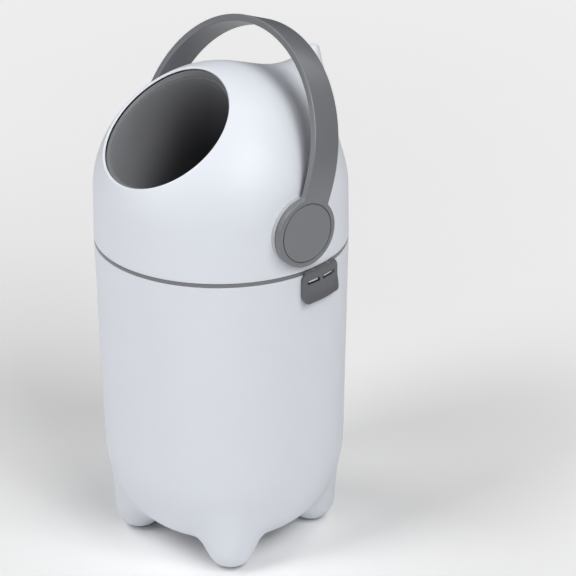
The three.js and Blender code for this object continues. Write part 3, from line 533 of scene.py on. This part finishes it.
base_ring = Form()
turned(base_ring, rounded([(113, 323.1), (119, 323.1, 0.8), (119, 312), (121.2, 312), (121.2, 315.2, 0.1), (120.3, 315.2, 0.1), (120.3, 318.2, 0.1),
                           (121.2, 318.2, 0.1), (121.2, 323.1, 0.5), (124.8, 323.1, 0.35), (124.8, 326.7, 0.35), (121.9, 326.7, 0.4), (121.9, 333),
                           (119.9, 333), (119.9, 326.7, 0.6), (113, 326.7)], 0.35, 3), 360)
ear = rounded([(123, 323.7, 0), (127.2, 323.7), (128.1, 324.5), (128.1, 325.6), (127.4, 326.4), (123, 326.4, 0)], 0.4, 3)
for side in (0, 180):
    t, d = clip_frame(side)
    for s in (-EAR_S, EAR_S):
        slab = [[t * (s + k) + d * y + np.array([0, 0, z]) for y, z in ear] for k in (-EAR_W / 2, EAR_W / 2)]
        b0, rr, cc = base_ring.grid(slab)
        base_ring.f.append(tuple(b0 + i for i in range(cc)))
        base_ring.f.append(tuple(b0 + cc + i for i in range(cc))[::-1])
finish_piece(base_ring.make("seam_ring"), GREY, "lid", "base_ring", slot="trim_grey")


def on_ball(r, psi):
    return (r * math.sin(math.radians(psi)), PIVOT_Z - r * math.cos(math.radians(psi)))


def polar(r, psi):
    return (r * math.sin(math.radians(psi)), r * math.cos(math.radians(psi)))


seat = Form()
low_in, low_out = on_ball(120.6, 37), on_ball(123.2, 37)
turned(seat, rounded([(118.6, 322.8), (111.9, 322.8)] + [on_ball(121.3, a) for a in np.linspace(65.6, 38, 22)]
                     + [(low_in[0], low_in[1] - 2), (low_out[0], low_out[1] - 2)] + [on_ball(123.4, a) for a in np.linspace(38, 63.2, 22)]
                     + [(112.4, 319.8), (118.6, 319.8)], 0.4, 3), 256)
finish_piece(seat.make("drum_seat_smooth"), GREY, "lid", "drum_seat", slot="trim_grey")
strip = Form()
turned(strip, rounded([on_ball(118.5, 39.5), on_ball(118.5, 41.5), on_ball(118.5, 43.5), on_ball(120.8, 43.5), on_ball(120.8, 39.5)], 0.8, 4), 256)
finish_piece(strip.make("drum_seal_strip"), SEAL_AND_PAINTED_SHADE, "lid", "drum_seal", slot="seal_rubber")
mouth_up = (MOUTH_C - [0, 0, PIVOT_Z]) @ mouth_n
mouth_off = (MOUTH_C - [0, 0, PIVOT_Z]) @ mouth_u


def on_drum(r, ball_r=SEAL_BALL):
    """Height over the mouth's plane where a ball about the pivot passes r from the mouth's axis."""
    return np.sqrt(ball_r ** 2 - (r * np.cos(phi) + mouth_off) ** 2 - (r * np.sin(phi)) ** 2) - mouth_up


top_h = lip_low - SEAL_TOP
low_r = SEAL_IN - 2.75
low_h = on_drum(low_r) + 0.1
strip_rows = [at_height(low_r + 0.1, on_drum(low_r + 0.1))]
for t in np.linspace(0, 1, 16):
    # the inner face leans outwards and rolls over at the top
    r_t, k_t = low_r + (SEAL_IN + 0.55 - low_r) * t, 1.22 * t - 0.22 * t ** 6
    strip_rows.append(at_height(r_t, low_h + (top_h - low_h) * min(k_t, 1.0)))
strip_rows += [at_height(SEAL_IN + 0.85, top_h - 0.2), at_height(SEAL_IN + 1.0, top_h - 0.9), at_height(SEAL_OUT - 0.2, np.maximum(top_h - 3.0, on_drum(SEAL_OUT) + 0.6)),
               at_height(SEAL_OUT, np.maximum(top_h - 3.2, on_drum(SEAL_OUT) + 0.4)), at_height(SEAL_OUT, on_drum(SEAL_OUT) + 0.2), at_height(SEAL_OUT - 0.2, on_drum(SEAL_OUT - 0.2))]
strip = Form()
strip.grid(strip_rows, loop=True)
finish_piece(strip.make("opening_seal_strip", sharp=60), DRUM, "lid", "opening_seal", slot="drum_grey")
strip = Form()
turned(strip, rounded([(120.6, 315.5), (121.4, 315.5), (122.0, 316.7), (121.4, 317.9), (120.6, 317.9)], 0.5, 4), 256)
finish_piece(strip.make("rim_seal_strip"), SEAL_AND_PAINTED_SHADE, "lid", "rim_seal", slot="seal_rubber")
for side, word in ((1, "right"), (-1, "left")):
    bush = Form()
    turned(bush, rounded([(13, 119.4), (19.3, 119.4), (19.3, 120.7), (16.2, 120.7), (16.2, 124.3), (13, 124.3)], 0.3, 3), 96, place=about_x(side))
    finish_piece(bush.make(f"hub_bush_smooth_{word}"), NATURAL, "lid", f"hub_bush_{word}", slot="natural_plastic")


def cross_head(form, head_r, z_face, place, up):
    """A small raised cross on a screw head stands for its recess edge."""
    for k in range(2):
        a = k * pi / 2
        w, l, h = head_r * 0.16, head_r * 0.62, 0.12
        c, s = math.cos(a), math.sin(a)
        pts = []
        for z in (z_face, z_face + up * h):
            for x, y in ((-l, -w), (l, -w), (l, w), (-l, w)):
                pts.append((x * c - y * s, x * s + y * c, z))
        pts = place(np.array(pts, float))
        form.add(pts, [(0, 1, 2, 3), (7, 6, 5, 4), (0, 4, 5, 1), (1, 5, 6, 2), (2, 6, 7, 3), (3, 7, 4, 0)])


for i in range(4):
    a = math.radians(45 + TURN_BASE + 90 * i)
    move = lambda p, a=a: p + [115.6 * math.sin(a), -115.6 * math.cos(a), 0]
    screw = Form()
    turned(screw, [(0, 317.6)] + rounded([(2.0, 317.6), (2.9, 318.3), (2.9, 319.5), (1.4, 319.5), (1.4, 325.6)], 0.25, 3, closed=False) + [(0, 325.6)], 32, place=move)
    cross_head(screw, 2.2, 317.62, move, -1)
    finish_piece(screw.make(f"seat_screw_fine_{i + 1}"), STEEL, "lid", f"seat_screw_{i + 1}", slot="screw_steel")

# ---------------------------------------------------------------- drum
ball_in = BALL_R - BALL_WALL
ball = Form()
turned(ball, [(0, -BALL_R)] + [polar(BALL_R, a) for a in np.linspace(178, 36.0, 90)]
       + rounded([polar(BALL_R, 35.8), polar(BALL_R, 35.6), polar(ball_in, 35.6), polar(ball_in, 36.1)], 0.5, 3, closed=False)
       + [polar(ball_in, a) for a in np.linspace(36.7, 178, 60)] + [(0, -ball_in)], 256, place=about_ball(DRUM_EL))
finish_piece(ball.make("drum_ball_smooth", sharp=50), DRUM, "drum", "drum_ball", slot="drum_grey")

wall, bottom, deep = 2.0, -12.0, 53.5
r_end = CUP_R - 6.1
prof = [(0, bottom - deep)]
prof += [(r_end * math.cos(a), bottom - deep * math.sin(a)) for a in np.radians(np.linspace(87, 3, 24))]
prof += [(CUP_R - 0.6 - 5.5 * t, 95 - (95 - bottom) * t) for t in np.linspace(1, 0, 8)]
prof += rounded([(CUP_R - 0.5, 95.6), (CUP_R - 0.1, 98.2, 0.25), (CUP_R + 2.2, 96.75, 0.3), (CUP_R + 2.2, 95.9, 0.3),
                 (CUP_R + 1.5, 95.2, 0.3)], 0.8, 5, closed=False)
prof += [(CUP_R - 0.6 + wall - 5.5 * t, 95 - (95 - bottom) * t) for t in np.linspace(0, 1, 8)]
prof += [((r_end + wall) * math.cos(a), bottom - (deep + wall) * math.sin(a)) for a in np.radians(np.linspace(3, 87, 24))]
prof += [(0, bottom - deep - wall)]
cup = Form()
turned(cup, prof, 256, place=about_ball(DRUM_EL))
finish_piece(cup.make("drum_cup_smooth", sharp=60), CUP, "drum", "drum_cup", slot="drum_grey")

# ---------------------------------------------------------------- handle
lean = math.radians(LEAN)


def leaned(p):
    """Handle pieces are made upright about the pivot and then lean back."""
    x, y, z = p[:, 0], p[:, 1], p[:, 2]
    return np.stack([x, y * math.cos(lean) + z * math.sin(lean), -y * math.sin(lean) + z * math.cos(lean) + PIVOT_Z], -1)


EDGE = 1.3                      # rounding of the strap's and the discs' edges
edge_in = [(STRAP_IN + EDGE * (1 - math.cos(t)), EDGE * (1 - math.sin(t))) for t in np.linspace(0, pi / 2, 7)]
edge_out = [(STRAP_OUT - EDGE * (1 - math.sin(t)), EDGE * (1 - math.cos(t))) for t in np.linspace(0, pi / 2, 7)]
levels = edge_in + edge_out      # distance from the middle of the bin, and inset from the outline
y_front, y_back = STRAP_Y - STRAP_W / 2, STRAP_Y + STRAP_W / 2


def neck(y_edge, r):
    """Fillet between one edge of the strap and the disc, from the strap down to the disc."""
    sign = 1 if y_edge > 0 else -1
    cx = abs(y_edge) + r
    cy = math.sqrt((HUB_R + r) ** 2 - cx * cx)
    end = math.atan2(-cy, -cx) + 2 * pi
    return [(sign * (cx + r * math.cos(a)), cy + r * math.sin(a)) for a in np.linspace(pi, end, 14)]


back_neck, front_neck = neck(y_back, 3.0), neck(y_front, 6.0)
straight = lambda y, z0: [(y, z) for z in np.linspace(LEG, z0, 5)[:-1]]
a0 = math.atan2(back_neck[-1][1], back_neck[-1][0])
a1 = math.atan2(front_neck[-1][1], front_neck[-1][0])
around = [(HUB_R * math.cos(a), HUB_R * math.sin(a)) for a in np.linspace(a0, a1 - 2 * pi, 190)[1:-1]]
outline = np.array(straight(y_back, back_neck[0][1]) + back_neck + around + front_neck[::-1] + straight(y_front, front_neck[0][1])[::-1])
tan = np.gradient(outline, axis=0)
tan /= np.linalg.norm(tan, axis=1)[:, None]
tan[0] = tan[-1] = 0
tan[0, 1], tan[-1, 1] = -1, 1
inward = np.stack([tan[:, 1], -tan[:, 0]], -1)
theta = np.unwrap(np.arctan2(outline[:, 1], outline[:, 0]))
theta = np.concatenate([theta, np.linspace(theta[-1], theta[0] - 2 * pi, 18)[1:-1]])
hub_profile = [(33.1, STRAP_IN), (32.9, HUB_BACK + 0.1), (32.6, HUB_BACK), (12.7, HUB_BACK), (12.7, 119.2), (9.0, 119.2), (9.0, 126.9), (2.3, 127.0),
               (2.3, 128.4), (4.7, 128.4), (4.7, 130.5), (5.0, 130.6), (CAP_R + 0.4, 130.6), (CAP_R + 0.45, 130.65)]
hub_profile += [(CAP_R + 0.45 + 0.35 * (1 - math.cos(t)), HUB_X - 0.35 * (1 - math.sin(t))) for t in np.linspace(0, pi / 2, 5)]

handle = Form()
for side in (1, -1):
    cols = [[(side * x, *(o + n * inset)) for x, inset in levels] for o, n in zip(outline, inward)]
    b0, rr, cc = handle.grid(cols, wrap=False)
    rings = [[(side * x, r * math.cos(t), r * math.sin(t)) for t in theta] for r, x in hub_profile]
    b1, r1, c1 = handle.grid(rings)
    last = b1 + (r1 - 1) * c1
    for i in range(rr - 1):
        handle.f.append((b0 + i * cc, b0 + (i + 1) * cc, b1 + i + 1, b1 + i))
        handle.f.append((b0 + i * cc + cc - 1, b0 + (i + 1) * cc + cc - 1, last + i + 1, last + i))
    handle.f.append(tuple([b0 + (rr - 1) * cc, b0] + [b1] + [b1 + i for i in range(c1 - 1, rr - 2, -1)]))
    handle.f.append(tuple([b0 + (rr - 1) * cc + cc - 1, b0 + cc - 1] + [last] + [last + i for i in range(c1 - 1, rr - 2, -1)]))
section = [(x, y_front + i) for x, i in levels] + [(x, y_back - i) for x, i in levels[::-1]]
rows = [[(x * math.cos(a), y, LEG + x * math.sin(a)) for x, y in section] for a in np.linspace(0, pi, 180)]
handle.grid(rows)
finish_piece(handle.make("carrying_handle", sharp=42, transform=leaned), GREY, "drum", "handle", slot="trim_grey")

for side, word in ((1, "right"), (-1, "left")):
    cap = Form()
    turned(cap, [(0, 130.9)] + rounded([(CAP_R - 1, 130.9), (CAP_R - 0.35, 130.9, 0.1), (CAP_R - 0.35, HUB_X, 0.6), (CAP_R - 6, HUB_X)], 0.5, 5, closed=False)
           + [(12, HUB_X), (0, HUB_X)], 192, place=about_x(side))
    finish_piece(cap.make(f"hub_cap_smooth_{word}"), GREY, "drum", f"hub_cap_{word}", slot="trim_grey")
    screw = Form()
    turned(screw, [(0, 117.4)] + rounded([(1.6, 117.4), (1.6, 128.7), (4.2, 128.7), (4.2, 129.7), (3.2, 130.4)], 0.3, 3, closed=False) + [(0, 130.4)], 48, place=about_x(side))
    cross_head(screw, 3.2, 130.38, about_x(side), 1)
    finish_piece(screw.make(f"axle_screw_fine_{word}"), STEEL, "drum", f"axle_screw_{word}", slot="screw_steel")
    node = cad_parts[f"axle_{word}"]
    node.data.materials.clear()
    node.data.materials.append(NATURAL)


# ---------------------------------------------------------------- clips
def step(a, b, x):
    t = np.clip((x - a) / (b - a), 0, 1)
    return t * t * (3 - 2 * t)


ARC = 128.0 * pi / 180          # millimetres of arc for a degree
W2 = CLIP_HALF * ARC


def eased(table, soft=0.5):
    """A smooth curve through a table of heights and values."""
    z, v = np.array(table, float).T
    grid = np.arange(z.min() - 3, z.max() + 3, 0.1)
    k = np.exp(-0.5 * (np.arange(-20, 21) * 0.1 / soft) ** 2)
    line = np.interp(grid, z, v)
    line = np.convolve(np.pad(line, 20, mode="edge"), k / k.sum(), mode="valid")
    return lambda h: np.interp(h, grid, line)


side_line = eased([(293.5, 130.9), (298.4, 130.55), (302.6, 130.15), (306, 129.5), (311, 129.05), (326.65, 129.05)], 0.8)
mid_line = eased([(293.5, 130.8), (295.5, 130.1), (298, 129.0), (301, 128.3), (304, 128.0), (307.2, 128.25), (309.0, 129.2), (310.4, 129.25), (326.65, 129.1)], 0.35)
top_cut = eased([(293, 0), (317.5, 0), (320.5, 0.35), (321.9, 1.3), (323.3, 2.15), (324.7, 3.1), (326.65, 4.5)], 0.3)


def clip_outline(z, r):
    """Half width of the clip at a height, less towards its rounded corners."""
    h = z - CLIP_BOTTOM
    cut = r - math.sqrt(max(0, r * r - (r - h) ** 2)) if h < r else 0
    return W2 - cut - float(top_cut(z))


def clip_outer(s, z, hw):
    k = step(hw - 1.4, hw - 5.5, np.abs(s))
    lip = -1.4 * step(324.6, 326.65, z) ** 1.5
    return side_line(z) * (1 - k) + mid_line(z) * k + lip


def clip_inner(s, z):
    v = 126.4 + 0.0 * s
    v = v + 3.1 * step(302, 293.5, z)
    v = v - 0.85 * np.exp(-((z - 325.0) / 1.1) ** 2)
    # thin behind the slots, where the lugs of the body reach in
    thin = step(9.7 * ARC, 9.2 * ARC, np.abs(s)) * step(321.6, 320.8, z)
    return np.maximum(v, (LUG_R + 0.2) * thin + v * (1 - thin))


def clip_make(side, word):
    form = Form()
    zs = np.concatenate([np.linspace(326.65, 324.6, 9)[:-1], np.linspace(324.6, 308, 40)[:-1], np.linspace(308, CLIP_BOTTOM + 7, 26)[:-1], CLIP_BOTTOM + 7 * (1 - np.sin(np.linspace(0, pi / 2, 24)))])
    us = np.linspace(-1, 1, 81)
    us = np.sign(us) * (1 - (1 - np.abs(us)) ** 1.25)
    rows = []
    soft = 0.55
    for z in zs:
        hw = np.where(us < 0, clip_outline(z, CLIP_CORNERS[0]), clip_outline(z, CLIP_CORNERS[1]))
        s = us * hw
        ro, ri = clip_outer(s, z, hw), clip_inner(s, z)
        # round the outline's edge off the outer face
        e = np.minimum(hw - np.abs(s), min(z - CLIP_BOTTOM, 9) + 0.0 * s)
        fall = soft - np.sqrt(np.maximum(0, soft ** 2 - np.maximum(0, soft - e) ** 2))
        ro = ro - fall
        front = [((r) * math.sin(math.radians(CLIP_AZ + side + q / ARC)), -(r) * math.cos(math.radians(CLIP_AZ + side + q / ARC)), z) for r, q in zip(ro, s)]
        back = [((r) * math.sin(math.radians(CLIP_AZ + side + q / ARC)), -(r) * math.cos(math.radians(CLIP_AZ + side + q / ARC)), z) for r, q in zip(ri, s)][::-1]
        rows.append(front + back)
    b0, rr, cc = form.grid(rows)
    form.f.append(tuple(b0 + i for i in range(cc)))
    form.f.append(tuple(b0 + (rr - 1) * cc + i for i in range(cc))[::-1])
    ob = form.make(f"side_clip_{word}", sharp=42)
    cutters = []

    def cutter(f, name):
        c = f.make(name)
        cutters.append(c)
    def bored(outline_, name):
        """Cuts straight through the face, following an outline of (degrees, height)."""
        f = Form()
        rws = []
        for r in (124.5, 132.5):
            rws.append([(r * math.sin(math.radians(CLIP_AZ + side + q)), -r * math.cos(math.radians(CLIP_AZ + side + q)), h) for q, h in outline_])
        b0, rr, cc = f.grid(rws)
        f.f.append(tuple(b0 + i for i in range(cc)))
        f.f.append(tuple(b0 + cc + i for i in range(cc))[::-1])
        cutter(f, name)

    for i, (off, half) in enumerate(SLOTS):
        corner = rounded([(-half * ARC, SLOT_LOW), (half * ARC, SLOT_LOW), (half * ARC, SLOT_HIGH), (-half * ARC, SLOT_HIGH)], 0.7, 4)
        bored([(off + q / ARC, h) for q, h in corner], f"cut_slot_{word}_{i}")
    t, d = clip_frame(side)
    for s in (-EAR_S, EAR_S):
        f = Form()
        w = EAR_W / 2 + 0.35
        pts = [t * (s + i) + d * y + np.array([0, 0, z]) for z in (323.3, 329) for i, y in ((-w, 123), (w, 123), (w, 128.4), (-w, 128.4))]
        f.add(pts, [(3, 2, 1, 0), (4, 5, 6, 7), (0, 1, 5, 4), (1, 2, 6, 5), (2, 3, 7, 6), (3, 0, 4, 7)])
        cutter(f, f"cut_ear_{word}_{s:.0f}")
    bpy.context.view_layer.objects.active = ob
    for c in cutters:
        m = ob.modifiers.new("cut", "BOOLEAN")
        m.operation, m.solver, m.object = "DIFFERENCE", "EXACT", c
        bpy.ops.object.modifier_apply(modifier=m.name)
    for c in cutters:
        bpy.data.objects.remove(c)
    ob.data.set_sharp_from_angle(angle=math.radians(42))
    ob.data.materials.clear()
    return finish_piece(ob, CLIP_GREY, f"clip_{word}", f"clip_{word}", slot="trim_grey")


for side, word in ((0, "right"), (180, "left")):
    clip_make(side, word)
    for i, (off, half) in enumerate(SLOTS):
        # a dark plate on the body behind each slot: painted shade for the dark inside of the slot
        shade = Form()
        arc_block(shade, CLIP_AZ + side + off, half + 0.6, 124.2, 125.2, 309.3, 314.65)
        finish_piece(shade.make(f"slot_painted_shade_{word}_{i + 1}"), SEAL_AND_PAINTED_SHADE, "bin", "bin_body", slot="shell_white")
    for i, off in enumerate(EYES):
        a = math.radians(CLIP_AZ + side + off)
        t, d = np.array([math.cos(a), math.sin(a), 0]), np.array([math.sin(a), -math.cos(a), 0])
        # the eye is a thin dark disc on the body wall: painted shade where a small hole would be dark
        eye = Form()
        turned(eye, [(0, 124.3), (EYE_R, 124.3), (EYE_R, 125.3), (0, 125.3)], 32,
               place=lambda p, t=t, d=d: p[:, 2:3] * d + p[:, 0:1] * t + p[:, 1:2] * np.array([0, 0, 1.0]) + np.array([0, 0, EYE_Z]))
        finish_piece(eye.make(f"lug_hole_{word}_{i + 1}"), SEAL_AND_PAINTED_SHADE, "bin", "bin_body", slot="shell_white")
    pin = Form()
    t, d = clip_frame(side)

    def lie(p, t=t, d=d):
        return p[:, 2:3] * t + p[:, 0:1] * d + p[:, 1:2] * np.array([0, 0, 1.0]) + d * PIN_R + np.array([0, 0, PIN_Z])
    turned(pin, [(0, -14.5)] + rounded([(0.6, -14.5), (0.6, 14.5)], 0.15, 3, closed=False) + [(0, 14.5)], 24, place=lie)
    finish_piece(pin.make(f"clip_pin_fine_{word}"), STEEL, "lid", f"clip_pin_{word}", slot="screw_steel")

# ---------------------------------------------------------------- floor, light and camera
floor_mat = bpy.data.materials.new("pale_floor")
nt, b = nodes_of(floor_mat)
co = nt.nodes.new("ShaderNodeTexCoord")
no = nt.nodes.new("ShaderNodeTexNoise")
no.inputs["Scale"].default_value = 3
nt.links.new(co.outputs["Object"], no.inputs["Vector"])
mr = nt.nodes.new("ShaderNodeMapRange")
mr.inputs["To Min"].default_value, mr.inputs["To Max"].default_value = 0.93, 0.95
nt.links.new(no.outputs["Fac"], mr.inputs["Value"])
nt.links.new(mr.outputs["Result"], b.inputs["Base Color"])
b.inputs["Roughness"].default_value = 0.9
b.inputs["Specular IOR Level"].default_value = 0.1
floor = Form()
a = np.linspace(0, 2 * pi, 64, endpoint=False)
disc_rows = [np.stack([r * np.cos(a), r * np.sin(a), np.zeros_like(a)], -1) for r in (200, 800, 2500, 9000, 40000)]
b0, rr, cc = floor.grid(disc_rows)
floor.pole((0, 0, 0), b0, cc)
floor_ob = floor.make("floor")
floor_ob.data.materials.append(floor_mat)

# a glow over the far floor for the camera alone, so that it lights nothing
glow_mat = bpy.data.materials.new("floor_glow")
glow_mat.use_nodes = True
gt = glow_mat.node_tree
gt.nodes.clear()
gc, gl = gt.nodes.new("ShaderNodeTexCoord"), gt.nodes.new("ShaderNodeVectorMath")
gl.operation = "LENGTH"
gt.links.new(gc.outputs["Object"], gl.inputs[0])
gm = gt.nodes.new("ShaderNodeMapRange")
gm.inputs["From Min"].default_value, gm.inputs["From Max"].default_value = 0.3, 2.7
gm.inputs["To Min"].default_value, gm.inputs["To Max"].default_value = 0.0, 0.75
gt.links.new(gl.outputs["Value"], gm.inputs["Value"])
ge, gp = gt.nodes.new("ShaderNodeEmission"), gt.nodes.new("ShaderNodeBsdfTransparent")
gt.links.new(gm.outputs["Result"], ge.inputs["Strength"])
ga, go = gt.nodes.new("ShaderNodeAddShader"), gt.nodes.new("ShaderNodeOutputMaterial")
gt.links.new(ge.outputs["Emission"], ga.inputs[0])
gt.links.new(gp.outputs["BSDF"], ga.inputs[1])
gt.links.new(ga.outputs["Shader"], go.inputs["Surface"])
glow_mat.cycles.emission_sampling = "NONE"
glow = Form()
glow.grid([np.stack([r * np.cos(a), r * np.sin(a), 0.5 + 0 * a], -1) for r in (300, 800, 2500, 9000, 40000)])
glow_ob = glow.make("floor_glow")
glow_ob.data.materials.append(glow_mat)
glow_ob.visible_diffuse = glow_ob.visible_glossy = glow_ob.visible_transmission = False
glow_ob.visible_volume_scatter = glow_ob.visible_shadow = False

world = bpy.data.worlds.new("studio")
bpy.context.scene.world = world
world.use_nodes = True
wn = world.node_tree
wn.nodes.clear()
wo = wn.nodes.new("ShaderNodeOutputWorld")
bg = wn.nodes.new("ShaderNodeBackground")
bg.inputs["Color"].default_value = (1.0, 1.0, 1.0, 1)
bg.inputs["Strength"].default_value = 0.0
wn.links.new(bg.outputs["Background"], wo.inputs["Surface"])


def area(name, at, to, size, power, color=(1, 1, 1)):
    light = bpy.data.lights.new(name, "AREA")
    light.shape, light.size, light.size_y = "RECTANGLE", size[0], size[1]
    light.energy, light.color = power, color
    ob = bpy.data.objects.new(name, light)
    ob.location = at
    ob.rotation_mode = "QUATERNION"
    ob.rotation_quaternion = (Vector(to) - Vector(at)).to_track_quat("-Z", "Y")
    bpy.context.scene.collection.objects.link(ob)
    return ob


c_az = math.radians(52.393)
for name, turn, high, power in (("key_right", 45, 50, 22.3), ("key_front", 25, 35, 20.4), ("side_right", 105, 65, 10.3), ("rim_right", 130, 35, 3.1),
                                ("fill_left", -60, 50, 19.0), ("fill_left_mid", -60, 30, 7.4), ("fill_left_low", -60, 12, 6.1), ("back_left", -110, 50, 13.0),
                                ("edge_left", -85, 12, 1.8)):
    a, e = c_az + math.radians(turn), math.radians(high)
    at = Vector((math.sin(a) * math.cos(e), -math.cos(a) * math.cos(e), math.sin(e))) * 2.6 + Vector((0, 0, 0.28))
    area(name, at, (0, 0, 0.28), (0.9, 0.9), power)

# camera found from the seam, the mouth, the hub and the outline
f_px, c_dist, c_high = 2394.6, 2.15635, 1.26874
pitch, yaw, roll = math.radians(24.973), math.radians(-1.734), math.radians(-0.145)
aim = c_az + yaw
fwd = Vector((-math.sin(aim) * math.cos(pitch), math.cos(aim) * math.cos(pitch), -math.sin(pitch)))
right = Vector((math.cos(aim), math.sin(aim), 0))
up = right.cross(fwd)
r2 = right * math.cos(roll) + up * math.sin(roll)
u2 = -right * math.sin(roll) + up * math.cos(roll)
cam = bpy.data.cameras.new("camera")
cam.sensor_fit, cam.sensor_width = "HORIZONTAL", 36
cam.lens = f_px * 36 / 576
cam.clip_start, cam.clip_end = 0.05, 50
cam_ob = bpy.data.objects.new("camera", cam)
m = Matrix((r2, u2, -fwd)).transposed().to_4x4()
m.translation = Vector((c_dist * math.sin(c_az), -c_dist * math.cos(c_az), c_high))
cam_ob.matrix_world = m
bpy.context.scene.collection.objects.link(cam_ob)
bpy.context.scene.camera = cam_ob
bpy.context.scene.view_settings.view_transform = "Standard"
